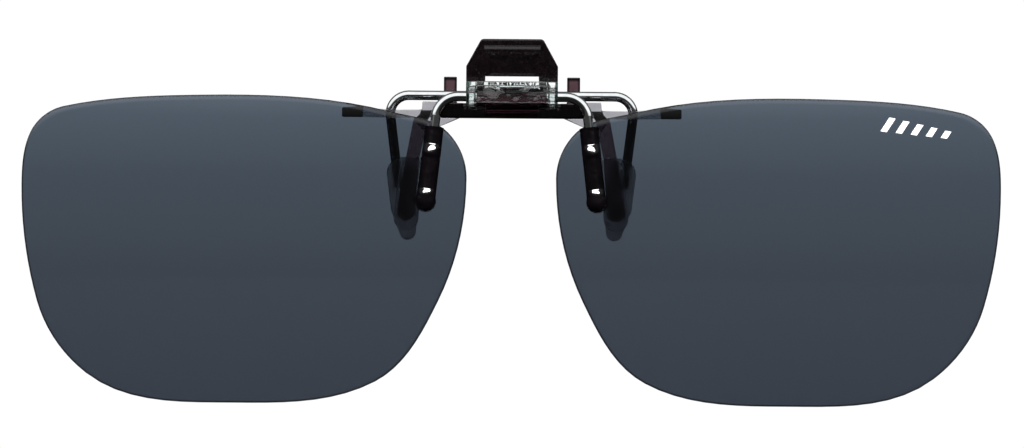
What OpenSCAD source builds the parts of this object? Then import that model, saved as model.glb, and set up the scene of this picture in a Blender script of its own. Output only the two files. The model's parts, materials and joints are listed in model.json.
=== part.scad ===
// Flip-up sunglasses that clip onto a pair of spectacles.
// Two sprung jaws grip the spectacle lenses beside the nose; a chrome wire axle in the
// clear housing carries the two tinted lenses, which tip up in front of the forehead.
// +X is towards the wearer's left, +Y towards the face, +Z up.
// The origin is in the middle of the grip, between the two jaws.

/* [Lenses] */
// Width of one lens
lens_width = 60.1; // [57:0.1:63]
// Height of one lens
lens_height = 41.4; // [38:0.1:45]
// Gap between the lenses over the nose
lens_gap = 12.0; // [11.8:0.1:13]
// Lens thickness
lens_thick = 1.1; // [0.9:0.1:1.4]
// Radius of the back surface of a lens
lens_radius = 150; // [140:5:170]

/* [Wires and tubes] */
// Diameter of both chrome wires
wire_d = 1.3; // [1.1:0.1:1.4]
// Outer diameter of the front tubes
tube_d = 2.5; // [2.2:0.1:2.6]
// Outer diameter of the rounded tube tips
tip_d = 2.7; // [2.6:0.1:2.8]
// Distance between the legs of the front wire at the bends
front_leg_spread = 20.4; // [20:0.1:21]
// Distance between the legs of the rear wire at the bends
rear_leg_spread = 32.8; // [32:0.1:33.6]

/* [Housing and hinge] */
// Width over the housing walls
housing_width = 12.3; // [12.1:0.1:12.4]
// Thickness of a housing wall
wall = 1.15; // [1.0:0.05:1.2]
// Diameter of the hinge pin
pin_d = 1.0; // [0.8:0.1:1.0]
// Radial clearance of everything that turns
running = 0.05; // [0.03:0.01:0.08]
// Diameter of the spring wire
spring_d = 0.4; // [0.3:0.05:0.4]
// Turns of the jaw spring
spring_turns = 12; // [10:1:13]

/* [Finger tabs] */
// Height of the finger tabs above the housing
tab_height = 5.7; // [5.2:0.1:6.2]
// Thickness of a finger tab
tab_thick = 1.3; // [1.1:0.1:1.4]
// Lean of each tab away from the other
tab_lean = 10; // [6:1:12]

/* [Jaws] */
// Thickness of a soft sleeve or pad
grip_thick = 2.2; // [2.0:0.1:2.3]
// Thickness of the stiff front arms
arm_thick = 1.2; // [1.0:0.1:1.3]
// Free gap between the closed jaws
jaw_gap = 0.4; // [0.4:0.1:0.6]
// Width of a rear pad
pad_width = 3.8; // [3.4:0.1:4.2]

/* [Hidden] */
$fn = 48;
round_fn = 24;
lens_fn = 256;

// The axle that the lenses tip on, and the pin that the rear jaw turns on (y, z)
axle = [-5.9, 13.25];
pivot = [-2.2, 14.2];

wire_r = wire_d / 2;
// A collar or ball this much wider than the wire joins each straight to its bend
joint_extra = 0.01;
joint_lap = 0.04;
collar_length = 0.2;
pin_r = pin_d / 2;
half_housing = housing_width / 2;
inner_wall = half_housing - wall;
housing_top = 15.3;
housing_front = axle[0] - 2.4;
plate_thick = 0.85;
deck_thick = 0.5;
deck_back = -4.0;
wall_foot = 12.2;
wall_back = -0.1;

// Lens bar and what carries the lenses on it
bar_half = 9.6;
bar_y = [-3.5, -2.2];
bar_z = [10.4, 11.8];
bar_block_x = 6.55;
bar_block_top = 12.45;
barrel_r = 1.1;
barrel_half = inner_wall - 0.3;
cam_flat = 0.85;
cam_half = 1.9;
mount_thick = 0.9;
boss_thick = 1.7;
boss_x = [20.0, 22.8];
boss_z = [10.4, 11.7];

// Lens surfaces: two concentric spheres behind each lens
lens_cx = 22;
lens_cz = -7;
lens_top = 13.34;
outline_size = [60.1, 41.44];
bar_end_sag = sag(lens_radius, bar_half - lens_cx, bar_z[1] - lens_cz);
lens_centre_y = bar_y[0] - bar_end_sag + lens_radius;

// Lens outline knots: distance from the nasal edge, height below the top, heading
outline_knots = [
    [0.0, 11.04, 90],
    [2.6, 4.84, 45],
    [10.3, 2.14, 14],
    [35.4, 0.04, -1],
    [54.4, 1.64, -12],
    [59.0, 5.24, -65],
    [60.1, 12.24, -90],
    [57.9, 27.84, -106],
    [51.1, 37.64, -143],
    [31.0, 41.44, -180],
    [12.1, 38.44, -208],
    [3.7, 27.54, -244]
];
outline_steps = 9;

// Front wire: straight run, bend, and a leg that leans outwards and follows the lens
front_bend_r = 3.0;
front_turn = 83.5;
front_run = front_leg_spread / 2 - front_bend_r;
front_leg = 10.6;
tube_start = 1.5;
tube_length = 11.5;
tip_length = 2.6;
tube_low = [11.4, -1.0];
leg_tilt = atan((axle[0] - lens_front_y(tube_low) + tip_d / 2 + 0.08) / (axle[1] - tube_low[1]));

// Rear wire, in a plane behind the spectacle lens
rear_y = jaw_gap / 2 + 1.25;
rear_z = 13.5;
rear_bend_r = 2.5;
rear_turn = 97;
rear_run = rear_leg_spread / 2 - rear_bend_r;
rear_leg = 9.8;
pad_start = 5.9;
pad_length = 11.0;
pad_inset = 0.5;
pad_straight = 0.45;
pad_tip_r = 1.1;
pad_dome_r = 9;

// Rear carrier
knuckle_x = [3.6, inner_wall - 0.2];
knuckle_r = 1.05;
lug_x = [7.45, 9.2];
lug_y = [rear_y - 0.15, 3.0];
lug_z = [10.6, 16.05];
beam_y = [0.7, 2.4];
beam_z = [10.6, 12.5];
ear_top = 15.6;

// Front yoke: centre line and width of an arm (x, z, width) and the sleeve on it
arm_line = [[12.3, 10.1, 1.9], [13.3, 5.1, 1.8], [14.15, -2.2, 2.5]];
yoke_end = [12.3, 11.4];
yoke_inner_corner = 11.1;
yoke_y = [-jaw_gap / 2 - 1.7, -jaw_gap / 2 - 1.7 + arm_thick];
yoke_z = [10.5, wall_foot];
sleeve_y = [-jaw_gap / 2 - grip_thick, -jaw_gap / 2];
sleeve_top = [13.5, 5.1];
sleeve_end = [14.15, -3.1];
sleeve_top_w = 2.9;
sleeve_r = 1.65;

// Jaw spring around the pin and the leaf spring over the cam
coil_r = pin_r + 0.1 + spring_d / 2;
coil_half = 3.1;
coil_pitch = 2 * coil_half / spring_turns;
rear_leg_angle = 51;
rear_leg_reach = 3.3;
front_leg_angle = 140;
front_leg_reach = 1.55;
ledge_y = [-4.3, -3.6];
ledge_z = [12.7, 13.3];
leaf_r = 2.6;
leaf_thick = 0.2;
leaf_half_angle = 34;
leaf_half_width = 1.6;

// Finger tab outline: x and height above the tab's foot
tab_shoulder = [half_housing, 2.0];
tab_corner_r = 0.6;
tab_corner = [3.78, tab_height - tab_corner_r];
tab_edge = tab_shoulder - tab_corner;
tab_corner_angle = atan2(tab_edge[1], tab_edge[0]) + acos(tab_corner_r / norm(tab_edge));
tab_recess = [3.0, 1.1, 3.5];
tab_foot = 0.4;
window_half = 3.6;
window_top = 0.9;
tab_base_front = [axle[0] + 0.3, housing_top];
tab_base_rear = [pivot[0] + 0.1, housing_top];

// ---------- formulas ----------

function sag(r, dx, dz) = r - sqrt(r * r - dx * dx - dz * dz);

function lens_front_y(p) =
    lens_centre_y - sqrt(pow(lens_radius + lens_thick, 2)
        - pow(p[0] - lens_cx, 2) - pow(p[1] - lens_cz, 2));

function heading(a) = [cos(a), sin(a)];

function knot(i) = outline_knots[i % len(outline_knots)];

function knot_point(i) = [
    lens_gap / 2 + knot(i)[0] * lens_width / outline_size[0],
    lens_top - knot(i)[1] * lens_height / outline_size[1]
];

// Handle length that makes a cubic curve run close to a circular arc
function handle(i) =
    let (turn = abs((knot(i + 1)[2] - knot(i)[2] + 540) % 360 - 180))
    norm(knot_point(i + 1) - knot_point(i)) / 3 / pow(cos(turn / 4), 2);

function bezier(a, b, c, d, t) =
    pow(1 - t, 3) * a + 3 * pow(1 - t, 2) * t * b + 3 * (1 - t) * t * t * c + pow(t, 3) * d;

function lens_outline() = [
    for (i = [0 : len(outline_knots) - 1])
        let (
            a = knot_point(i),
            d = knot_point(i + 1),
            b = a + handle(i) * heading(knot(i)[2]),
            c = d - handle(i) * heading(knot(i + 1)[2])
        )
        for (s = [0 : outline_steps - 1]) bezier(a, b, c, d, s / outline_steps)
];

// ---------- shared shapes ----------

// Extrudes a drawing in the X-Z plane from y0 to y1
module slab(y) {
    translate([0, y[1], 0])
        rotate([90, 0, 0])
            linear_extrude(height = y[1] - y[0])
                children();
}

// Extrudes a drawing in the Y-Z plane from x0 to x1
module side_slab(x) {
    translate([x[0], 0, 0])
        rotate([90, 0, 90])
            linear_extrude(height = x[1] - x[0])
                children();
}

// Round bar along X, centred on the middle plane, at (y, z)
module cross_rod(at, r, half) {
    translate([-half, at[0], at[1]])
        rotate([0, 90, 0])
            cylinder(r = r, h = 2 * half);
}

module both_sides() {
    children();
    mirror([1, 0, 0])
        children();
}

// Wire that runs along X, bends down on both sides and ends in two straight legs
module bent_wire(run, bend_r, turn, leg) {
    cross_rod([0, 0], wire_r, run - joint_lap);
    both_sides() {
        translate([run, 0, 0])
            rotate([0, 90, 0])
                joint_collar();
        translate([run, 0, -bend_r])
            rotate([90, 0, 0])
                rotate([0, 0, 90 - turn])
                    rotate_extrude(angle = turn)
                        translate([bend_r, 0])
                            circle(r = wire_r);
        on_leg(run, bend_r, turn) {
            joint_collar();
            translate([0, 0, joint_lap])
                cylinder(r = wire_r, h = leg - joint_lap);
        }
    }
}

module joint_collar() {
    cylinder(r = wire_r + joint_extra, h = collar_length, center = true);
}

// Puts +Z along the leg that follows the bend, starting where the bend ends
module on_leg(run, bend_r, turn) {
    translate([run + bend_r * sin(turn), 0, -bend_r * (1 - cos(turn))])
        rotate([0, 90 + turn, 0])
            children();
}

module on_front_wire() {
    translate([0, axle[0], axle[1]])
        rotate([-leg_tilt, 0, 0])
            children();
}

module on_rear_wire() {
    translate([0, rear_y, rear_z])
        children();
}

// Everything behind a lens's back surface, out to a given depth behind it
module behind_lens(depth) {
    translate([lens_cx, lens_centre_y, lens_cz])
        difference() {
            sphere(r = lens_radius, $fn = lens_fn);
            sphere(r = lens_radius - depth, $fn = lens_fn);
        }
}

// ---------- lenses ----------

module lens() {
    color([0.22, 0.25, 0.30, 0.85])
        intersection() {
            translate([lens_cx, lens_centre_y, lens_cz])
                difference() {
                    sphere(r = lens_radius + lens_thick, $fn = lens_fn);
                    sphere(r = lens_radius, $fn = lens_fn);
                }
            slab([-12, 12])
                polygon(lens_outline());
        }
}

module lens_left() {
    lens();
}

module lens_right() {
    mirror([1, 0, 0])
        lens();
}

module mount_strip() {
    color([0.75, 0.75, 0.74, 0.6])
        intersection() {
            slab([-8, 0])
                polygon([
                    [7.0, bar_z[0]], [9.3, 9.4], [12.2, 8.8], [13.2, 10.3],
                    [boss_x[0], boss_z[0]], [boss_x[0], boss_z[1]], [15.6, 11.45],
                    [12.1, 11.5], [12.0, 12.6], [bar_half, 12.6], [bar_half, bar_z[0]]
                ]);
            behind_lens(mount_thick);
        }
}

module mount_strip_left() {
    mount_strip();
}

module mount_strip_right() {
    mirror([1, 0, 0])
        mount_strip();
}

module lens_boss() {
    color([0.06, 0.05, 0.06])
        intersection() {
            slab([-8, 0])
                translate([boss_x[0], boss_z[0]])
                    square([boss_x[1] - boss_x[0], boss_z[1] - boss_z[0]]);
            behind_lens(boss_thick);
        }
}

module lens_boss_left() {
    lens_boss();
}

module lens_boss_right() {
    mirror([1, 0, 0])
        lens_boss();
}

// Bar behind the lenses, with the barrel and cam that sit on the axle wire
module lens_bar() {
    color([0.16, 0.11, 0.13, 0.9])
        difference() {
            union() {
                slab(bar_y)
                    polygon([
                        [-bar_half, bar_z[0]], [bar_half, bar_z[0]],
                        [bar_half, bar_block_top], [bar_block_x, bar_block_top],
                        [bar_block_x, bar_z[1]], [-bar_block_x, bar_z[1]],
                        [-bar_block_x, bar_block_top], [-bar_half, bar_block_top]
                    ]);
                side_slab([-window_half, window_half])
                    polygon([
                        [axle[0] + 0.7, axle[1] - 0.2],
                        [bar_y[0] + 0.1, bar_z[1]],
                        [bar_y[0] + 0.1, bar_z[0] + 0.3],
                        [axle[0] + 0.7, axle[1] - 1.1]
                    ]);
                cross_rod(axle, barrel_r, barrel_half);
            }
            cross_rod(axle, wire_r, barrel_half + 1);
            translate([-cam_half, axle[0] - 2, axle[1] + cam_flat])
                cube([2 * cam_half, 4, 1]);
            translate([-cam_half, axle[0] - cam_flat - 1, axle[1] - 2])
                cube([2 * cam_half, 1, 4]);
        }
}

module front_wire() {
    color([0.75, 0.76, 0.78])
        on_front_wire()
            bent_wire(front_run, front_bend_r, front_turn, front_leg);
}

module front_tube() {
    color([0.02, 0.02, 0.02])
        on_front_wire()
            on_leg(front_run, front_bend_r, front_turn)
                difference() {
                    translate([0, 0, tube_start])
                        union() {
                            cylinder(d = tube_d, h = tube_length - tip_length);
                            translate([0, 0, tube_length - tip_length - tip_d / 2])
                                cylinder(d = tip_d, h = tip_length);
                            translate([0, 0, tube_length - tip_d / 2])
                                sphere(d = tip_d);
                        }
                    cylinder(r = wire_r, h = front_leg);
                }
}

module front_tube_left() {
    front_tube();
}

module front_tube_right() {
    mirror([1, 0, 0])
        front_tube();
}

// ---------- housing and front jaw ----------

module housing_wall_profile() {
    difference() {
        union() {
            translate(axle)
                circle(r = 1.4);
            translate([housing_front, axle[1] - 0.6])
                square([1.6, housing_top - axle[1] + 0.6]);
            translate([axle[0] - 1.0, wall_foot])
                square([wall_back - axle[0] + 1.0, housing_top - wall_foot - 0.6]);
            translate([axle[0] - 1.0, housing_top - 0.7])
                square([wall_back - axle[0] + 0.2, 0.7]);
            translate([wall_back - 0.6, 10.9])
                square([0.6, 2]);
        }
        translate(axle)
            circle(r = wire_r + running);
        translate(pivot)
            circle(r = pin_r);
    }
}

module housing() {
    color([0.80, 0.83, 0.83, 0.5])
        union() {
            both_sides()
                side_slab([inner_wall, half_housing])
                    housing_wall_profile();
            translate([-inner_wall - 0.1, housing_front, 12.4])
                cube([2 * inner_wall + 0.2, plate_thick, housing_top - 12.4]);
            translate([-inner_wall - 0.1, housing_front, housing_top - deck_thick])
                cube([2 * inner_wall + 0.2, deck_back - housing_front, deck_thick]);
            translate([-inner_wall - 0.1, ledge_y[0], ledge_z[0]])
                cube([2 * inner_wall + 0.2, ledge_y[1] - ledge_y[0], ledge_z[1] - ledge_z[0]]);
        }
}

// Half of the outline, from the foot up to the middle of the top edge
function tab_half(foot_half) =
    let (tangent = tab_corner + tab_corner_r * heading(tab_corner_angle))
    [
        [foot_half, -tab_foot], [foot_half, window_top],
        [tab_shoulder[0], window_top], tab_shoulder, tangent,
        [tab_corner[0], tab_height]
    ];

module tab_outline(foot_half) {
    right = tab_half(foot_half);
    difference() {
        union() {
            polygon(concat(right, [for (i = [len(right) - 1 : -1 : 0]) [-right[i][0], right[i][1]]]));
            both_sides()
                translate(tab_corner)
                    circle(r = tab_corner_r);
        }
        translate([-window_half, -1])
            square([2 * window_half, window_top + 1]);
    }
}

// Finger tab standing in the X-Z plane, outer face towards -Y
module finger_tab(foot_half) {
    difference() {
        union() {
            slab([-tab_thick / 2, tab_thick / 2])
                tab_outline(foot_half);
            cross_rod([-tab_thick / 2 + 0.15, tab_height - 1.3], 0.6, tab_corner[0]);
        }
        slab([-tab_thick, -tab_thick / 2 + 0.45])
            translate([-tab_recess[0], tab_recess[1]])
                square([2 * tab_recess[0], tab_recess[2] - tab_recess[1]]);
    }
}

module front_tab() {
    color([0.05, 0.03, 0.04])
        intersection() {
            translate([0, tab_base_front[0], tab_base_front[1]])
                rotate([tab_lean, 0, 0])
                    finger_tab(half_housing);
            translate([-10, -15, housing_top])
                cube([20, 20, 10]);
        }
}

// An arm's edge: down its outer side, round its tip and up its inner side
function arm_edge() =
    let (tip = arm_line[len(arm_line) - 1])
    concat(
        [for (p = arm_line) [p[0] + p[2] / 2, p[1]]],
        [for (a = [-12 : -12 : -168]) [tip[0], tip[1]] + tip[2] / 2 * heading(a)],
        [for (i = [len(arm_line) - 1 : -1 : 0])
            [arm_line[i][0] - arm_line[i][2] / 2, arm_line[i][1]]]
    );

module front_yoke() {
    half = concat(
        [[bar_half, yoke_z[1]], [bar_half, yoke_end[1]], yoke_end, [yoke_end[0], yoke_end[1] - 0.4]],
        arm_edge(),
        [[yoke_inner_corner, yoke_z[0]]]
    );
    color([0.14, 0.13, 0.15])
        slab(yoke_y)
            polygon(concat(half, [for (i = [len(half) - 1 : -1 : 0]) [-half[i][0], half[i][1]]]));
}

module front_sleeve() {
    color([0.10, 0.10, 0.12])
        difference() {
            slab(sleeve_y)
                polygon(concat(
                    [
                        [sleeve_top[0] - sleeve_top_w / 2, sleeve_top[1]],
                        [sleeve_top[0] + sleeve_top_w / 2, sleeve_top[1]]
                    ],
                    [for (a = [0 : -12 : -180]) sleeve_end + sleeve_r * heading(a)]
                ));
            slab(yoke_y)
                polygon(arm_edge());
        }
}

module front_sleeve_left() {
    front_sleeve();
}

module front_sleeve_right() {
    mirror([1, 0, 0])
        front_sleeve();
}

module hinge_pin() {
    color([0.70, 0.71, 0.73])
        cross_rod(pivot, pin_r, half_housing);
}

// Torsion spring: upright half turns joined by slanted half turns, and two legs
module jaw_spring() {
    color([0.72, 0.73, 0.75])
        translate([0, pivot[0], pivot[1]])
            union() {
                for (i = [0 : spring_turns - 1])
                    translate([-coil_half + i * coil_pitch, 0, 0]) {
                        coil_arc(i == 0 ? rear_leg_angle : 0, 180, 0);
                        coil_ball(180);
                        translate([coil_pitch / 2, 0, 0])
                            coil_arc(180, 360, atan(coil_pitch / 2 / coil_r));
                        translate([coil_pitch, 0, 0])
                            coil_ball(0);
                    }
                translate([coil_half, 0, 0]) {
                    coil_arc(0, front_leg_angle, 0);
                    spring_leg(front_leg_angle, -90, front_leg_reach);
                }
                translate([-coil_half, 0, 0])
                    spring_leg(rear_leg_angle, 90, rear_leg_reach);
            }
}

// Part of a turn about X, measured from +Y towards +Z; a slant carries it sideways
module coil_arc(from, to, slant) {
    rotate([0, 0, -slant])
        rotate([90, 0, 90])
            rotate([0, 0, from])
                rotate_extrude(angle = to - from)
                    translate([coil_r / cos(slant), 0])
                        circle(d = spring_d, $fn = round_fn);
}

module coil_ball(at) {
    rotate([at, 0, 0])
        translate([0, coil_r, 0])
            sphere(r = spring_d / 2 + joint_extra, $fn = round_fn);
}

// Straight leg that leaves the coil along its tangent
module spring_leg(at, side, length) {
    coil_ball(at);
    rotate([at, 0, 0])
        translate([0, coil_r, 0])
            rotate([side + 90, 0, 0])
                translate([0, 0, joint_lap])
                    cylinder(d = spring_d, h = length, $fn = round_fn);
}

// Bowed leaf that presses on the flat of the cam
module flip_spring() {
    color([0.75, 0.76, 0.78])
        translate([-leaf_half_width, axle[0], axle[1] + cam_flat + 0.02 + leaf_r])
            rotate([0, 90, 0])
                rotate([0, 0, -leaf_half_angle])
                    rotate_extrude(angle = 2 * leaf_half_angle)
                        translate([leaf_r - leaf_thick, 0])
                            square([leaf_thick, 2 * leaf_half_width]);
}

// ---------- rear jaw ----------

module rear_carrier() {
    color([0.30, 0.22, 0.22, 0.8])
        difference() {
            union() {
                both_sides() {
                    side_slab(knuckle_x)
                        union() {
                            translate(pivot)
                                circle(r = knuckle_r);
                            translate([pivot[0] - 0.5, pivot[1]])
                                square([1.4, ear_top - pivot[1]]);
                            polygon([
                                [pivot[0], pivot[1] + 0.9], [beam_y[0], pivot[1] - 0.2],
                                [beam_y[1], beam_z[1]], [beam_y[1], beam_z[0]],
                                [beam_y[0], beam_z[0]], [beam_y[0], beam_z[1] + 0.1],
                                [pivot[0], pivot[1] - knuckle_r]
                            ]);
                        }
                    translate([lug_x[0], lug_y[0], lug_z[0]])
                        cube([lug_x[1] - lug_x[0], lug_y[1] - lug_y[0], lug_z[1] - lug_z[0]]);
                }
                translate([-lug_x[1], beam_y[0], beam_z[0]])
                    cube([2 * lug_x[1], beam_y[1] - beam_y[0], beam_z[1] - beam_z[0]]);
            }
            cross_rod(pivot, pin_r + running, half_housing + 1);
            cross_rod([rear_y, rear_z], wire_r, rear_run + 1);
        }
}

module rear_tab() {
    color([0.05, 0.03, 0.04])
        intersection() {
            translate([0, tab_base_rear[0], tab_base_rear[1]])
                rotate([-tab_lean, 0, 0])
                    mirror([0, 1, 0])
                        finger_tab(knuckle_x[1]);
            translate([-10, -15, ear_top])
                cube([20, 20, 10]);
        }
}

module rear_wire() {
    color([0.75, 0.76, 0.78])
        on_rear_wire()
            bent_wire(rear_run, rear_bend_r, rear_turn, rear_leg);
}

module rear_pad() {
    color([0.45, 0.46, 0.49, 0.8])
        on_rear_wire()
            on_leg(rear_run, rear_bend_r, rear_turn)
                difference() {
                    intersection() {
                        translate([pad_inset, jaw_gap / 2 - rear_y, pad_start])
                            pad_blank();
                        translate([pad_inset, jaw_gap / 2 - rear_y + pad_dome_r, 0])
                            cylinder(r = pad_dome_r, h = 40);
                    }
                    cylinder(r = wire_r, h = rear_leg);
                }
}

// Paddle in the plane of the wire: round shoulders at the top, a full belly, a round tip
module pad_blank() {
    belly = pad_width / 2;
    translate([0, grip_thick, 0])
        rotate([90, 0, 0])
            linear_extrude(height = grip_thick)
                union() {
                    translate([0, belly])
                        circle(r = belly);
                    translate([-belly, belly])
                        square([pad_width, pad_length * pad_straight]);
                    polygon([
                        [-belly, belly + pad_length * pad_straight - 0.1],
                        [belly, belly + pad_length * pad_straight - 0.1],
                        [pad_tip_r, pad_length - pad_tip_r],
                        [-pad_tip_r, pad_length - pad_tip_r]
                    ]);
                    translate([0, pad_length - pad_tip_r])
                        circle(r = pad_tip_r);
                }
}

module rear_pad_left() {
    rear_pad();
}

module rear_pad_right() {
    mirror([1, 0, 0])
        rear_pad();
}

housing();
front_tab();
front_yoke();
front_sleeve_left();
front_sleeve_right();
hinge_pin();
jaw_spring();
flip_spring();
rear_carrier();
rear_tab();
rear_wire();
rear_pad_left();
rear_pad_right();
lens_bar();
front_wire();
front_tube_left();
front_tube_right();
mount_strip_left();
mount_strip_right();
lens_boss_left();
lens_boss_right();
lens_left();
lens_right();
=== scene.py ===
import json
import math

import bmesh
import bpy
import numpy as np
from mathutils import Matrix, Vector


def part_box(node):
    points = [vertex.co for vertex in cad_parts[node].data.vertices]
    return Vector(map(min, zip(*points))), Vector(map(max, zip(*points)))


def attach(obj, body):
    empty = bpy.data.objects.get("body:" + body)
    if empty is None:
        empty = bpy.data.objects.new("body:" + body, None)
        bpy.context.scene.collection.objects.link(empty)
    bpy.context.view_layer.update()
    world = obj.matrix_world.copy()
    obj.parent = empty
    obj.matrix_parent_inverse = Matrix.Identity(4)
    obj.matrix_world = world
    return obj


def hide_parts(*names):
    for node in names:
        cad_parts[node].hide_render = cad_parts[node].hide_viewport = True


MM = 0.001
SIDES = ("left", "right")

# ---- rounding of moulded edges, in mm: node -> (bevel width, segments) ----
CRISP_PIECES = {
    "front_tab": (0.22, 3),
    "rear_tab": (0.22, 3),
    "front_yoke": (0.22, 3),
    "lens_boss_left": (0.18, 3),
    "lens_boss_right": (0.18, 3),
    "mount_strip_left": (0.10, 2),
    "mount_strip_right": (0.10, 2),
}
# ---- pieces whose edges melt into one another: node -> (voxel in mm, smoothing passes, name ending) ----
SOFT_PIECES = {
    "front_sleeve_left": (0.10, 14, "skin"),
    "front_sleeve_right": (0.10, 14, "skin"),
    "rear_pad_left": (0.10, 14, "skin"),
    "rear_pad_right": (0.10, 14, "skin"),
    "housing": (0.08, 7, "casting"),
    "rear_carrier": (0.09, 9, "casting"),
    "lens_bar": (0.09, 7, "casting"),
}

# ---- lens meshes ----
RIM_POINTS = 420
RIM_RADIUS = 0.28
RIM_STEPS = 5
# how dark the painted shade on the lens rim is
RIM_PAINTED_SHADE = 0.12
LENS_RINGS = 40

# ---- front tubes, in mm: a swell is a low rise on the front, `half` is half its length ----
TUBE_SIDES = 64
TUBE_BORE_RADIUS = 0.66
TUBE_MOUTH_DEPTH = 0.9
TUBE_SWELL = 0.24
TUBE_SWELL_AT = 3.65
TUBE_SWELL_HALF = 1.3
TIP_SWELL = 0.14
TIP_SWELL_ABOVE = 0.8
TIP_SWELL_HALF = 0.9

# ---- printed bars, in mm: each is shorter than the one before by BAR_SHRINK of the first ----
BAR_COUNT = 5
BAR_START = (50.2, 10.0)
BAR_SLOPE = -9.0
BAR_PITCH = 2.0
BAR_HEIGHT = 2.0
BAR_WIDTH = 0.85
BAR_LEAN = 0.45
BAR_SHRINK = 0.12
BAR_PROUD = 0.012
BAR_ROWS, BAR_COLUMNS = 8, 4

# ---- camera and light ----
VIEW_WIDTH_MM = 137.4
CAMERA_DISTANCE = 1.0
CAMERA_ROLL = 0.43
CAMERA_AIM = (0.14, -5.0, -3.78)
FLOOR_Z = -0.060
FLOOR_RADIUS = 0.8
SKY_FRONT = (1.30, 1.30, 1.32)
SKY_BACK = 0.10
ROOM_LEVEL = (0.055, 0.055, 0.055)
ROOM_LOW = (0.015, 0.015, 0.015)
LAMP_DISTANCE = 0.50
LAMP_ELEVATION = 35.5
LAMP_SIZE = (0.90, 0.17)
LAMP_POWER = 80.0
LIGHT_BOUNCES = 24
BLACK_GLOSS = 0.14


# ---------------------------------------------------------------- node helpers

def new_material(name):
    mat = bpy.data.materials.new(name)
    mat.use_nodes = True
    tree = mat.node_tree
    return mat, tree, tree.nodes["Principled BSDF"]


def add_node(tree, kind, **values):
    node = tree.nodes.new(kind)
    for key, value in values.items():
        setattr(node, key, value)
    return node


def set_inputs(node, **values):
    for key, value in values.items():
        node.inputs[key.replace("_", " ")].default_value = value


def object_noise(tree, scale, detail=3.0, roughness=0.55, stretch=None):
    """Noise over the object's own coordinates; scale is in cycles per metre."""
    coords = add_node(tree, "ShaderNodeTexCoord")
    source = coords.outputs["Object"]
    if stretch:
        mapping = add_node(tree, "ShaderNodeMapping")
        mapping.inputs["Scale"].default_value = stretch
        tree.links.new(source, mapping.inputs["Vector"])
        source = mapping.outputs["Vector"]
    noise = add_node(tree, "ShaderNodeTexNoise")
    set_inputs(noise, Scale=scale, Detail=detail, Roughness=roughness)
    tree.links.new(source, noise.inputs["Vector"])
    return noise.outputs["Fac"]


def object_axis(tree, axis):
    """One coordinate of the object's own space, in metres."""
    coords = add_node(tree, "ShaderNodeTexCoord")
    split = add_node(tree, "ShaderNodeSeparateXYZ")
    tree.links.new(coords.outputs["Object"], split.inputs["Vector"])
    return split.outputs[axis]


def ramp(tree, source, stops):
    node = add_node(tree, "ShaderNodeValToRGB")
    elements = node.color_ramp.elements
    while len(elements) < len(stops):
        elements.new(0.5)
    for element, (position, colour) in zip(elements, stops):
        element.position = position
        element.color = (*colour, 1.0)
    tree.links.new(source, node.inputs["Fac"])
    return node.outputs["Color"]


def map_range(tree, source, low, high, out_low, out_high):
    node = add_node(tree, "ShaderNodeMapRange")
    for name, value in (("From Min", low), ("From Max", high), ("To Min", out_low), ("To Max", out_high)):
        node.inputs[name].default_value = value
    tree.links.new(source, node.inputs["Value"])
    return node.outputs["Result"]


def multiplied(tree, first, second):
    blend = add_node(tree, "ShaderNodeMix", data_type="RGBA", blend_type="MULTIPLY")
    blend.inputs["Factor"].default_value = 1.0
    tree.links.new(first, blend.inputs["A"])
    tree.links.new(second, blend.inputs["B"])
    return blend.outputs["Result"]


def magnitude(tree, source):
    node = add_node(tree, "ShaderNodeMath", operation="ABSOLUTE")
    tree.links.new(source, node.inputs[0])
    return node.outputs["Value"]


def painted_post_shade(tree, middle_mm, half_mm, top_mm, dark):
    """Painted shade: white in the middle of the two upright posts, falling to the grey `dark` at their sides
    and top, to draw their dark edges.
    """
    off = add_node(tree, "ShaderNodeMath", operation="SUBTRACT")
    tree.links.new(magnitude(tree, object_axis(tree, "X")), off.inputs[0])
    off.inputs[1].default_value = middle_mm * MM
    reach = magnitude(tree, off.outputs["Value"])
    across = map_range(tree, reach, (half_mm - 0.12) * MM, (half_mm + 0.12) * MM, 0.0, 1.0)
    shade = ramp(tree, across, [(0.0, (1.0, 1.0, 1.0)), (1.0, (dark, dark, dark))])
    return multiplied(tree, shade, height_ramp(tree, top_mm - 0.15, top_mm + 0.15, dark))


def painted_side_shade(tree, start_mm, colour):
    """Painted shade: white near the middle plane, turning to `colour` beyond start_mm on both sides, to
    darken side walls.
    """
    across = map_range(tree, magnitude(tree, object_axis(tree, "X")),
                       start_mm * MM, (start_mm + 0.15) * MM, 0.0, 1.0)
    return ramp(tree, across, [(0.0, (1.0, 1.0, 1.0)), (1.0, colour)])


def darker_edges(tree, tint, edge, span=(0.12, 0.55)):
    """The tint multiplied by `edge` where the surface turns away."""
    facing = add_node(tree, "ShaderNodeLayerWeight")
    facing.inputs["Blend"].default_value = 0.5
    shade = ramp(tree, facing.outputs["Facing"], [(span[0], (1.0, 1.0, 1.0)), (span[1], (edge, edge, edge))])
    return multiplied(tree, tint, shade)


def height_ramp(tree, low_mm, high_mm, factor):
    """White below low_mm, falling to the grey `factor` at high_mm."""
    height = map_range(tree, object_axis(tree, "Z"), low_mm * MM, high_mm * MM, 0.0, 1.0)
    return ramp(tree, height, [(0.0, (1.0, 1.0, 1.0)), (1.0, (factor, factor, factor))])


def rough_from_noise(tree, shader, scale, low, high, stretch=None):
    noise = object_noise(tree, scale, stretch=stretch)
    tree.links.new(map_range(tree, noise, 0.35, 0.65, low, high), shader.inputs["Roughness"])


def bump_from_noise(tree, shader, scale, strength, depth, stretch=None, detail=2.0):
    noise = object_noise(tree, scale, detail=detail, stretch=stretch)
    bump = add_node(tree, "ShaderNodeBump")
    bump.inputs["Strength"].default_value = strength
    bump.inputs["Distance"].default_value = depth
    tree.links.new(noise, bump.inputs["Height"])
    tree.links.new(bump.outputs["Normal"], shader.inputs["Normal"])


# ------------------------------------------------------------------- materials

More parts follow.
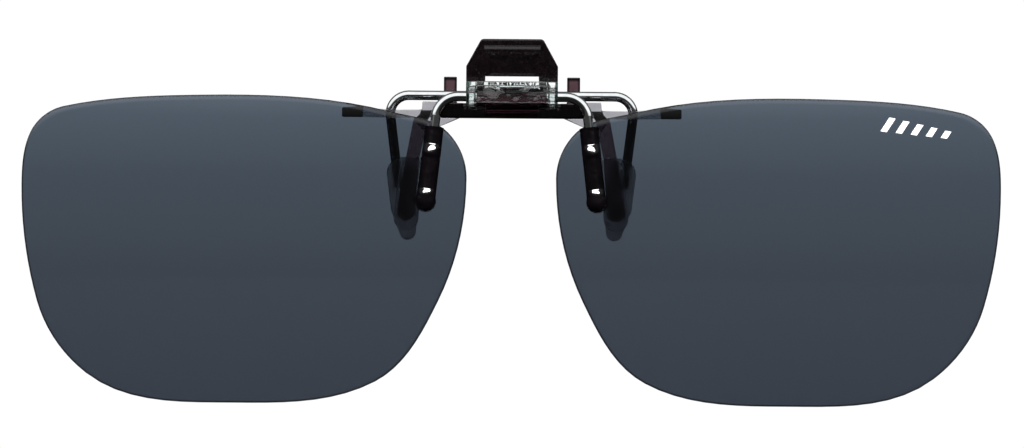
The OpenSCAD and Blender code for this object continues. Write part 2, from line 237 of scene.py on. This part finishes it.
def tinted_lens_material():
    """Grey polarising acrylic, a little lighter towards the top edge, with painted shade along its rounded
    rim.
    """
    mat, tree, shader = new_material("tinted_lens")
    low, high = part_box("lens_left")
    height = map_range(tree, object_axis(tree, "Z"), low.z, high.z, 0.0, 1.0)
    tint = ramp(tree, height, [
        (0.0, (0.040, 0.050, 0.066)),
        (0.45, (0.049, 0.061, 0.080)),
        (0.75, (0.060, 0.078, 0.101)),
        (1.0, (0.088, 0.114, 0.148)),
    ])
    # painted shade: the rounded rim is darkened to draw the dark edge line that a lens shows
    rim = add_node(tree, "ShaderNodeAttribute")
    rim.attribute_name = "rim"
    rim_painted_shade = ramp(tree, rim.outputs["Fac"], [(0.0, (1.0, 1.0, 1.0)), (0.9, (RIM_PAINTED_SHADE,) * 3)])
    tint = multiplied(tree, tint, rim_painted_shade)
    tree.links.new(darker_edges(tree, tint, 0.25, (0.35, 0.75)), shader.inputs["Base Color"])
    rough_from_noise(tree, shader, 900.0, 0.0, 0.02)
    set_inputs(shader, Transmission_Weight=1.0, IOR=1.49, Specular_IOR_Level=0.10)
    return mat


def smoke_material(name, dark, light, edge=0.12, ior=1.55, rough=(0.04, 0.12), see_through=1.0, scale=700.0,
                   top_shade=None, gloss=0.15, waves=None, painted_outline=None, sides=None):
    """Transparent tinted moulding with faint flow marks.

    `edge` darkens the rounded edges, as thick plastic does. `waves` are the arguments of a bump, `top_shade`,
    `painted_outline` and `sides` those of a mask that darkens the tint; the `painted_outline` and `sides`
    masks are painted shade.
    """
    mat, tree, shader = new_material(name)
    tint = ramp(tree, object_noise(tree, scale, detail=4.0), [(0.3, dark), (0.7, light)])
    if top_shade:
        tint = multiplied(tree, tint, height_ramp(tree, *top_shade))
    # painted shade: the tint darkens on the side walls beyond a set distance from the middle
    if sides:
        tint = multiplied(tree, tint, painted_side_shade(tree, *sides))
    # painted shade: the posts' sides and top are darkened to draw their dark edges
    if painted_outline:
        tint = multiplied(tree, tint, painted_post_shade(tree, *painted_outline))
    tree.links.new(darker_edges(tree, tint, edge), shader.inputs["Base Color"])
    rough_from_noise(tree, shader, scale * 2.2, *rough)
    if waves:
        bump_from_noise(tree, shader, *waves)
    set_inputs(shader, Transmission_Weight=see_through, IOR=ior, Specular_IOR_Level=gloss)
    return mat


def silicone_material(name, dark, light, edge, see_through):
    """Cloudy silicone: what is behind it shows as a soft shape."""
    mat, tree, shader = new_material(name)
    tint = ramp(tree, object_noise(tree, 500.0, detail=4.0), [(0.3, dark), (0.7, light)])
    tree.links.new(darker_edges(tree, tint, edge, (0.30, 0.80)), shader.inputs["Base Color"])
    rough_from_noise(tree, shader, 1600.0, 0.36, 0.46)
    bump_from_noise(tree, shader, 9000.0, 0.20, 0.00002)
    set_inputs(shader, Transmission_Weight=see_through, IOR=1.43)
    return mat


def metal_material(name, dark, light, rough, stretch, scale=1500.0, bump=0.15):
    """Plated or drawn steel: fine lines along the wire and a slightly uneven polish."""
    mat, tree, shader = new_material(name)
    tint = ramp(tree, object_noise(tree, scale, detail=5.0), [(0.3, dark), (0.7, light)])
    tree.links.new(tint, shader.inputs["Base Color"])
    rough_from_noise(tree, shader, scale, *rough, stretch=stretch)
    bump_from_noise(tree, shader, scale * 4, bump, 0.000006, stretch=stretch)
    set_inputs(shader, Metallic=1.0)
    return mat


def gloss_black_material(name, rough=(0.06, 0.12), dull_above=None):
    """Near-black gloss; with `dull_above` (mm) the cut mouth of a tube, above that height, is dull."""
    mat, tree, shader = new_material(name)
    tint = ramp(tree, object_noise(tree, 800.0, detail=4.0), [
        (0.3, (0.0001, 0.0001, 0.0001)), (0.7, (0.0003, 0.0002, 0.0003)),
    ])
    tree.links.new(tint, shader.inputs["Base Color"])
    rough_from_noise(tree, shader, 1200.0, *rough)
    bump_from_noise(tree, shader, 1500.0, 0.03, 0.00002)
    set_inputs(shader, IOR=1.5, Specular_IOR_Level=BLACK_GLOSS)
    if dull_above:
        height = object_axis(tree, "Z")
        gloss = map_range(tree, height, (dull_above - 0.3) * MM, dull_above * MM, BLACK_GLOSS, 0.0)
        tree.links.new(gloss, shader.inputs["Specular IOR Level"])
    return mat


def glowing_print_material():
    """White pad-printed ink with slightly uneven cover; it also glows faintly, which is painted light."""
    mat, tree, shader = new_material("glowing_white_print")
    tint = ramp(tree, object_noise(tree, 3000.0, detail=3.0), [
        (0.3, (0.78, 0.79, 0.80)), (0.6, (0.92, 0.92, 0.92)),
    ])
    tree.links.new(tint, shader.inputs["Base Color"])
    # painted light: the ink glows in its own colour
    tree.links.new(tint, shader.inputs["Emission Color"])
    set_inputs(shader, Roughness=0.5, Emission_Strength=0.45)
    return mat


def floor_material():
    mat, tree, shader = new_material("pale_floor")
    tint = ramp(tree, object_noise(tree, 6.0), [(0.3, (0.90, 0.90, 0.90)), (0.7, (0.93, 0.93, 0.93))])
    tree.links.new(tint, shader.inputs["Base Color"])
    set_inputs(shader, Roughness=0.8)
    return mat


def make_materials():
    return {
        "clear_plastic": smoke_material(
            "clear_plastic", (0.86, 0.91, 0.90), (0.93, 0.97, 0.96), rough=(0.01, 0.04), gloss=0.5,
            # painted shade on the outer side walls of the clear housing, beyond 5.68 mm
            waves=(650.0, 0.8, 0.00026, None, 0.6), sides=(5.68, (0.03, 0.055, 0.048))),
        "black_smoke": smoke_material(
            "black_smoke", (0.006, 0.003, 0.004), (0.014, 0.006, 0.009), rough=(0.20, 0.30), see_through=0.7,
            gloss=0.2),
        "grey_smoke": smoke_material(
            "grey_smoke", (0.21, 0.135, 0.155), (0.28, 0.185, 0.205), rough=(0.10, 0.18),
            top_shade=(9.9, 10.3, 0.0)),
        "dark_silicone": silicone_material(
            "dark_silicone", (0.88, 0.86, 0.89), (0.96, 0.94, 0.97), 0.35, 0.92),
        "pin_steel": metal_material(
            "pin_steel", (0.62, 0.62, 0.63), (0.75, 0.75, 0.76), (0.10, 0.18), (0.2, 1.0, 1.0)),
        "spring_steel": metal_material(
            "spring_steel", (0.60, 0.60, 0.60), (0.74, 0.74, 0.75), (0.12, 0.22), (1.0, 0.4, 0.4)),
        "brown_smoke": smoke_material(
            "brown_smoke", (0.075, 0.042, 0.050), (0.105, 0.060, 0.070), edge=0.02, rough=(0.04, 0.10),
            # painted shade at the sides and top of the posts
            painted_outline=(8.33, 0.60, 15.6, 0.04)),
        "chrome_wire": metal_material(
            "chrome_wire", (0.66, 0.68, 0.68), (0.76, 0.78, 0.78), (0.015, 0.035), (0.3, 1.0, 1.0),
            bump=0.015),
        "grey_silicone": silicone_material(
            "grey_silicone", (0.30, 0.29, 0.30), (0.38, 0.37, 0.38), 0.30, 0.92),
        "dark_smoke": smoke_material(
            "dark_smoke", (0.030, 0.012, 0.016), (0.062, 0.026, 0.033), rough=(0.06, 0.12)),
        "black_vinyl": gloss_black_material("black_vinyl", dull_above=8.9),
        "pale_plastic": smoke_material(
            "pale_plastic", (0.34, 0.34, 0.37), (0.42, 0.42, 0.45), rough=(0.02, 0.06)),
        "black_plastic": gloss_black_material("black_plastic", rough=(0.15, 0.25)),
        "tinted_lens": tinted_lens_material(),
    }


def paint(obj, mat):
    obj.data.materials.clear()
    obj.data.materials.append(mat)


# ---------------------------------------------------------------- mesh helpers

def points_of(node):
    mesh = frame["nodes"][node].data
    co = np.zeros(len(mesh.vertices) * 3)
    mesh.vertices.foreach_get("co", co)
    return co.reshape(-1, 3)


def object_from(name, mesh):
    obj = bpy.data.objects.new(name, mesh)
    bpy.context.scene.collection.objects.link(obj)
    return obj


def mesh_from(name, verts, faces):
    mesh = bpy.data.meshes.new(name)
    mesh.from_pydata([tuple(v) for v in verts], [], faces)
    mesh.validate()
    bm = bmesh.new()
    bm.from_mesh(mesh)
    bmesh.ops.recalc_face_normals(bm, faces=bm.faces)
    bm.to_mesh(mesh)
    bm.free()
    mesh.shade_smooth()
    return mesh


def baked(obj):
    """The object's mesh with its modifiers applied."""
    graph = bpy.context.evaluated_depsgraph_get()
    mesh = bpy.data.meshes.new_from_object(obj.evaluated_get(graph))
    obj.modifiers.clear()
    obj.data = mesh
    return obj


def body_of_node(node):
    bodies = frame["record"]["behaviour"]["bodies"]
    return next(body for body, members in bodies.items() if node in members)


def slot_of_node(node):
    return frame["nodes"][node].material_slots[0].name.split(".")[0]


def stand_in(obj, node, slot):
    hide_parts(node)
    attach(obj, body_of_node(node))
    paint(obj, materials[slot])
    return obj


def loose_copy(node, name):
    """A welded copy of a CAD node in millimetres, with its flat faces merged."""
    bm = bmesh.new()
    bm.from_mesh(frame["nodes"][node].data)
    bmesh.ops.scale(bm, vec=(1 / MM,) * 3, verts=bm.verts)
    bmesh.ops.remove_doubles(bm, verts=bm.verts, dist=0.002)
    bmesh.ops.dissolve_limit(
        bm, angle_limit=math.radians(0.8), verts=bm.verts, edges=bm.edges, use_dissolve_boundaries=False)
    bmesh.ops.recalc_face_normals(bm, faces=bm.faces)
    mesh = bpy.data.meshes.new(name)
    bm.to_mesh(mesh)
    bm.free()
    return object_from(name, mesh)


def to_metres(obj):
    obj.data.transform(Matrix.Scale(MM, 4))
    obj.data.update()


# ---------------------------------------------------------------------- pieces

def make_crisp(node, width, segments):
    """A moulded piece with small rounded edges that catch the light."""
    slot = slot_of_node(node)
    obj = loose_copy(node, node + "_moulding")
    bevel = obj.modifiers.new("edges", "BEVEL")
    bevel.width = width
    bevel.segments = segments
    bevel.limit_method = "ANGLE"
    bevel.angle_limit = math.radians(35)
    bevel.harden_normals = False
    baked(obj)
    to_metres(obj)
    obj.data.shade_smooth()
    obj.data.set_sharp_from_angle(angle=math.radians(40))
    weighted = obj.modifiers.new("shading", "WEIGHTED_NORMAL")
    weighted.keep_sharp = True
    return stand_in(obj, node, slot)


def make_soft(node, voxel, passes, ending):
    """A cast piece: its edges melt into one rounded form."""
    slot = slot_of_node(node)
    obj = loose_copy(node, f"{node}_{ending}")
    remesh = obj.modifiers.new("remesh", "REMESH")
    remesh.mode = "VOXEL"
    remesh.voxel_size = voxel
    smooth = obj.modifiers.new("smooth", "SMOOTH")
    smooth.factor = 0.5
    smooth.iterations = passes
    baked(obj)
    to_metres(obj)
    obj.data.shade_smooth()
    return stand_in(obj, node, slot)


def fit_sphere(points):
    rows = np.hstack([2 * points, np.ones((len(points), 1))])
    answer = np.linalg.lstsq(rows, (points ** 2).sum(1), rcond=None)[0]
    centre = answer[:3]
    return centre, math.sqrt(answer[3] + centre @ centre)


def facing_points(node, sign):
    """Vertices of the faces that look towards -Y (sign -1) or +Y (sign 1), and their outer edges."""
    mesh = frame["nodes"][node].data
    count, used = {}, set()
    for face in mesh.polygons:
        if sign * face.normal.y < 0.7:
            continue
        used.update(face.vertices)
        for key in face.edge_keys:
            count[key] = count.get(key, 0) + 1
    co = points_of(node)
    edges = [key for key, times in count.items() if times == 1]
    return co[sorted(used)], [(co[a], co[b]) for a, b in edges]


def ordered_loop(edges):
    """The points of a closed loop of edges, in order, in the X-Z plane."""
    def key(p):
        return (round(float(p[0]) * 1e7), round(float(p[2]) * 1e7))
    near, place = {}, {}
    for a, b in edges:
        near.setdefault(key(a), []).append(key(b))
        near.setdefault(key(b), []).append(key(a))
        place[key(a)], place[key(b)] = a, b
    start = min(near)
    loop, before, here = [start], None, start
    while True:
        step = [k for k in near[here] if k != before]
        before, here = here, step[0]
        if here == start or len(loop) > len(near):
            break
        loop.append(here)
    return np.array([[place[k][0], place[k][2]] for k in loop])


def even_loop(loop, count):
    """The loop resampled by arc length through a smooth closed curve."""
    n = len(loop)
    fine = []
    for i in range(n):
        a, b, c, d = loop[i - 1], loop[i], loop[(i + 1) % n], loop[(i + 2) % n]
        for t in np.linspace(0, 1, 12, endpoint=False):
            fine.append(0.5 * (2 * b + (c - a) * t + (2 * a - 5 * b + 4 * c - d) * t ** 2
                               + (3 * b - a - 3 * c + d) * t ** 3))
    fine = np.array(fine)
    closed = np.vstack([fine, fine[:1]])
    length = np.concatenate([[0], np.cumsum(np.linalg.norm(np.diff(closed, axis=0), axis=1))])
    at = np.linspace(0, length[-1], count, endpoint=False)
    return np.stack([np.interp(at, length, closed[:, k]) for k in (0, 1)], axis=1)


def inward_normals(loop):
    along = np.roll(loop, -1, 0) - np.roll(loop, 1, 0)
    along /= np.linalg.norm(along, axis=1)[:, None]
    area = 0.5 * np.sum(loop[:, 0] * np.roll(loop[:, 1], -1) - np.roll(loop[:, 0], -1) * loop[:, 1])
    turn = 1.0 if area > 0 else -1.0
    return turn * np.stack([-along[:, 1], along[:, 0]], axis=1)


def surface_y(centre, radius, xz):
    flat = (xz[:, 0] - centre[0]) ** 2 + (xz[:, 1] - centre[2]) ** 2
    return centre[1] - np.sqrt(radius ** 2 - flat)


def make_lens(side):
    """A ground lens: two true spherical faces and a polished, rounded rim."""
    node = "lens_" + side
    front_points, edges = facing_points(node, -1)
    back_points, _ = facing_points(node, 1)
    centre, front_radius = fit_sphere(front_points)
    back_radius = float(np.linalg.norm(back_points - centre, axis=1).mean())
    rim = even_loop(ordered_loop(edges), RIM_POINTS)
    inward = inward_normals(rim)
    middle = rim.mean(0)
    edge = RIM_RADIUS * MM

    def ring(xz, share):
        front = surface_y(centre, front_radius, xz)
        back = surface_y(centre, back_radius, xz)
        return np.stack([xz[:, 0], front + share * (back - front), xz[:, 1]], axis=1)

    inset = rim + edge * inward
    thickness = front_radius - back_radius
    rings = []
    for step in range(LENS_RINGS, 0, -1):
        rings.append(ring(middle + (inset - middle) * (1 - step / (LENS_RINGS + 1)), 0.0))
    rings[0:1] = []
    for step in range(RIM_STEPS + 1):
        turn = step / RIM_STEPS * math.pi / 2
        depth = edge * (1 - math.cos(turn)) / thickness
        rings.append(ring(rim + edge * (1 - math.sin(turn)) * inward, depth))
    for step in range(RIM_STEPS, -1, -1):
        turn = step / RIM_STEPS * math.pi / 2
        depth = 1 - edge * (1 - math.cos(turn)) / thickness
        rings.append(ring(rim + edge * (1 - math.sin(turn)) * inward, depth))
    for step in range(1, LENS_RINGS):
        rings.append(ring(middle + (inset - middle) * (1 - step / (LENS_RINGS + 1)), 1.0))
    verts = np.vstack(rings)
    n = RIM_POINTS
    faces = []
    for r in range(len(rings) - 1):
        for i in range(n):
            j = (i + 1) % n
            faces.append((r * n + i, r * n + j, (r + 1) * n + j, (r + 1) * n + i))
    first, last = len(verts), len(verts) + 1
    caps = [ring(middle[None, :], share)[0] for share in (0.0, 1.0)]
    verts = np.vstack([verts, caps])
    base = (len(rings) - 1) * n
    for i in range(n):
        j = (i + 1) % n
        faces.append((first, j, i))
        faces.append((last, base + i, base + j))
    obj = object_from(node + "_ground", mesh_from(node + "_ground", verts, faces))
    # 1 on the rim's rounded edge, 0 on the faces; the lens material paints shade where it is 1
    flat, bend = [0.0] * LENS_RINGS, [1.0] * (2 * RIM_STEPS)
    share = np.repeat(flat + bend + flat, n).tolist() + [0.0, 0.0]
    obj.data.attributes.new("rim", "FLOAT", "POINT").data.foreach_set("value", share)
    stand_in(obj, node, "tinted_lens")
    return centre, front_radius


def make_tube(side):
    """A glossy vinyl tube on the wire's leg, with two low rises on its front and a ball tip."""
    node = "front_tube_" + side
    co = points_of(node)
    middle = co.mean(0)
    _, _, axes = np.linalg.svd(co - middle, full_matrices=False)
    axis = axes[0] if axes[0][2] < 0 else -axes[0]
    along = (co - middle) @ axis
    # the leg's true line runs through the middle of the open end
    top = co[along < along.min() + 0.2 * MM].mean(0)
    low = co[along > along.max() - 2.2 * MM].mean(0)
    axis = (low - top) / np.linalg.norm(low - top)
    along = (co - top) @ axis
    radial = np.linalg.norm(co - top - np.outer(along, axis), axis=1)
    length = along.max()
    tip_r = float(radial.max())
    tube_r = float(radial[along < 0.3 * MM].max())
    bore_r = TUBE_BORE_RADIUS * MM
    # each row: distance along the tube, round radius, extra radius at the front
    profile = [(TUBE_MOUTH_DEPTH * MM, bore_r, 0.0), (0.0, bore_r, 0.0), (0.0, tube_r, 0.0),
               (0.5 * MM, tube_r, 0.0)]
    ball_at = length - tip_r
    for at, half, proud, after in (
            (TUBE_SWELL_AT * MM, TUBE_SWELL_HALF * MM, TUBE_SWELL * MM, tube_r),
            (ball_at - TIP_SWELL_ABOVE * MM, TIP_SWELL_HALF * MM, TIP_SWELL * MM, tip_r)):
        bow = (half ** 2 + proud ** 2) / (2 * proud)
        reach = min(half, 0.8 * TIP_SWELL_ABOVE * MM)
        profile.append((at - half - 0.05 * MM, tube_r, 0.0))
        for share in np.linspace(-1, 0, 13):
            rise = proud - bow + math.sqrt(bow ** 2 - (share * half) ** 2)
            profile.append((at + share * half, tube_r, rise))
        for share in np.linspace(0, 1, 10)[1:]:
            wave = 0.5 * (1 + math.cos(share * math.pi))
            profile.append((at + share * reach, after + (tube_r - after) * wave, proud * wave))
    for turn in np.linspace(90, 0, 22)[:-1]:
        a = math.radians(turn)
        profile.append((ball_at + tip_r * math.cos(a), tip_r * math.sin(a), 0.0))
    side_way = np.cross(axis, (0.0, 1.0, 0.0))
    side_way /= np.linalg.norm(side_way)
    other_way = np.cross(axis, side_way)
    verts = []
    for distance, r, swell in profile:
        for i in range(TUBE_SIDES):
            a = 2 * math.pi * i / TUBE_SIDES
            outward = math.cos(a) * side_way + math.sin(a) * other_way
            verts.append(top + axis * distance + (r + swell * max(0.0, -outward[1])) * outward)
    faces = []
    for row in range(len(profile) - 1):
        for i in range(TUBE_SIDES):
            j = (i + 1) % TUBE_SIDES
            faces.append((row * TUBE_SIDES + i, row * TUBE_SIDES + j,
                          (row + 1) * TUBE_SIDES + j, (row + 1) * TUBE_SIDES + i))
    verts.append(top + axis * length)
    base = (len(profile) - 1) * TUBE_SIDES
    for i in range(TUBE_SIDES):
        faces.append((len(verts) - 1, base + i, base + (i + 1) % TUBE_SIDES))
    obj = object_from(node + "_vinyl", mesh_from(node + "_vinyl", verts, faces))
    obj.data.set_sharp_from_angle(angle=math.radians(45))
    return stand_in(obj, node, "black_vinyl")


def make_print(centre, radius):
    """A plain row of slanted bars, printed near the outer top corner of the wearer's left lens."""
    slope = math.radians(BAR_SLOPE)
    along = Vector((math.cos(slope), math.sin(slope)))
    across = Vector((-along.y, along.x))
    for i in range(BAR_COUNT):
        corner = Vector(BAR_START) + along * (i * BAR_PITCH)
        tall = BAR_HEIGHT * (1 - BAR_SHRINK * i)
        verts, faces = [], []
        for r in range(BAR_ROWS + 1):
            for c in range(BAR_COLUMNS + 1):
                v = (r / BAR_ROWS - 0.5) * tall
                u = c / BAR_COLUMNS * BAR_WIDTH + BAR_LEAN * v
                p = corner + along * u + across * v
                xz = np.array([[p.x * MM, p.y * MM]])
                y = surface_y(centre, radius + BAR_PROUD * MM, xz)[0]
                verts.append((xz[0, 0], y, xz[0, 1]))
        for r in range(BAR_ROWS):
            for c in range(BAR_COLUMNS):
                a = r * (BAR_COLUMNS + 1) + c
                faces.append((a, a + 1, a + BAR_COLUMNS + 2, a + BAR_COLUMNS + 1))
        obj = object_from(f"lens_print_bar_{i + 1}", mesh_from(f"lens_print_bar_{i + 1}", verts, faces))
        paint(obj, glowing_white_print)
        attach(obj, "lens_frame")


# ----------------------------------------------------------------------- stage

def make_floor():
    bm = bmesh.new()
    bmesh.ops.create_circle(bm, cap_ends=True, segments=128, radius=FLOOR_RADIUS)
    mesh = bpy.data.meshes.new("floor")
    bm.to_mesh(mesh)
    bm.free()
    floor = object_from("floor", mesh)
    floor.location.z = FLOOR_Z
    floor.visible_glossy = False
    paint(floor, floor_material())


def make_world():
    """White surroundings; polished surfaces reflect a dark room with a pale sky above and in front."""
    world = bpy.data.worlds.new("studio")
    bpy.context.scene.world = world
    world.use_nodes = True
    tree = world.node_tree
    tree.nodes.clear()
    out = add_node(tree, "ShaderNodeOutputWorld")
    path = add_node(tree, "ShaderNodeLightPath")
    bright = add_node(tree, "ShaderNodeBackground")
    set_inputs(bright, Color=(1.0, 1.0, 1.0, 1.0), Strength=1.02)
    coords = add_node(tree, "ShaderNodeTexCoord")
    split = add_node(tree, "ShaderNodeSeparateXYZ")
    tree.links.new(coords.outputs["Generated"], split.inputs["Vector"])
    room = add_node(tree, "ShaderNodeBackground")
    sky = ramp(tree, map_range(tree, split.outputs["Z"], -1.0, 1.0, 0.0, 1.0), [
        (0.46, ROOM_LOW), (0.50, ROOM_LEVEL), (0.62, ROOM_LEVEL), (0.67, SKY_FRONT),
    ])
    ahead = ramp(tree, map_range(tree, split.outputs["Y"], -1.0, 1.0, 0.0, 1.0), [
        (0.49, (1.0, 1.0, 1.0)), (0.55, (SKY_BACK,) * 3),
    ])
    tree.links.new(multiplied(tree, sky, ahead), room.inputs["Color"])
    reflected = add_node(tree, "ShaderNodeMath", operation="GREATER_THAN")
    tree.links.new(path.outputs["Glossy Depth"], reflected.inputs[0])
    reflected.inputs[1].default_value = 0.5
    mix = add_node(tree, "ShaderNodeMixShader")
    tree.links.new(reflected.outputs["Value"], mix.inputs["Fac"])
    tree.links.new(bright.outputs["Background"], mix.inputs[1])
    tree.links.new(room.outputs["Background"], mix.inputs[2])
    tree.links.new(mix.outputs["Shader"], out.inputs["Surface"])


def add_softbox(name, place, size, power, shape="RECTANGLE", only_for=None):
    """An area light aimed at the middle; with `only_for` it shines on, and shows in, those objects alone."""
    light = bpy.data.lights.new(name, "AREA")
    light.shape = shape
    light.size, light.size_y = size
    light.energy = power
    obj = bpy.data.objects.new(name, light)
    bpy.context.scene.collection.objects.link(obj)
    obj.location = place
    obj.rotation_mode = "QUATERNION"
    obj.rotation_quaternion = (-Vector(place)).to_track_quat("-Z", "Y")
    obj.visible_camera = False
    obj.visible_transmission = False
    if only_for:
        obj.light_linking.receiver_collection = only_for
    else:
        obj.visible_glossy = False


def make_lights(glossy_pieces):
    add_softbox("softbox_top_front", (-0.03, -0.60, 0.44), (0.34, 0.14), 4.0)
    add_softbox("softbox_back_top", (0.1, 0.5, 0.6), (0.5, 0.3), 3.0)
    receivers = bpy.data.collections.new("glossy_pieces")
    for obj in glossy_pieces:
        receivers.objects.link(obj)
    up = math.radians(LAMP_ELEVATION)
    place = LAMP_DISTANCE * Vector((0.0, -math.cos(up), math.sin(up)))
    add_softbox("lamp_front", place, LAMP_SIZE, LAMP_POWER, shape="ELLIPSE", only_for=receivers)


def make_camera():
    data = bpy.data.cameras.new("camera")
    data.sensor_width = 36.0
    data.lens = 36.0 * CAMERA_DISTANCE / (VIEW_WIDTH_MM * MM)
    data.clip_start, data.clip_end = 0.01, 20.0
    camera = bpy.data.objects.new("camera", data)
    bpy.context.scene.collection.objects.link(camera)
    aim = Vector(CAMERA_AIM) * MM
    camera.location = aim + Vector((0, -CAMERA_DISTANCE, 0))
    look = Matrix.Rotation(math.radians(90), 4, "X")
    camera.rotation_euler = (look @ Matrix.Rotation(math.radians(CAMERA_ROLL), 4, "Z")).to_euler()
    bpy.context.scene.camera = camera


# ------------------------------------------------------------------------ build

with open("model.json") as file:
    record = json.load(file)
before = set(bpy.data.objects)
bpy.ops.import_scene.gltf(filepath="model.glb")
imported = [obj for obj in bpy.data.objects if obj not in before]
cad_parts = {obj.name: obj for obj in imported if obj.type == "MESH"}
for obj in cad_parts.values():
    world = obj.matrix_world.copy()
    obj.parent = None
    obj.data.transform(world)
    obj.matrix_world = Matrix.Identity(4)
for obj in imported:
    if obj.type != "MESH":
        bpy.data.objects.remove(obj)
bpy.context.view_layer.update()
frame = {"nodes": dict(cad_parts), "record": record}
bpy.context.scene.view_settings.view_transform = "Standard"
for kind in ("max", "transmission", "transparent_max", "glossy"):
    setattr(bpy.context.scene.cycles, kind + "_bounces", LIGHT_BOUNCES)

materials = make_materials()
glowing_white_print = glowing_print_material()
slots = {name: slot_of_node(name) for name in frame["nodes"]}
make_camera()
make_world()
make_floor()

for node_name, (bevel_width, bevel_segments) in CRISP_PIECES.items():
    make_crisp(node_name, bevel_width, bevel_segments)
for node_name, (voxel_mm, smoothing, name_ending) in SOFT_PIECES.items():
    make_soft(node_name, voxel_mm, smoothing, name_ending)
for side in SIDES:
    lens_centre, lens_front = make_lens(side)
    if side == "left":
        make_print(lens_centre, lens_front)
make_lights([make_tube(side) for side in SIDES])
for node_name in ("hinge_pin", "jaw_spring", "flip_spring", "front_wire", "rear_wire"):
    paint(frame["nodes"][node_name], materials[slots[node_name]])
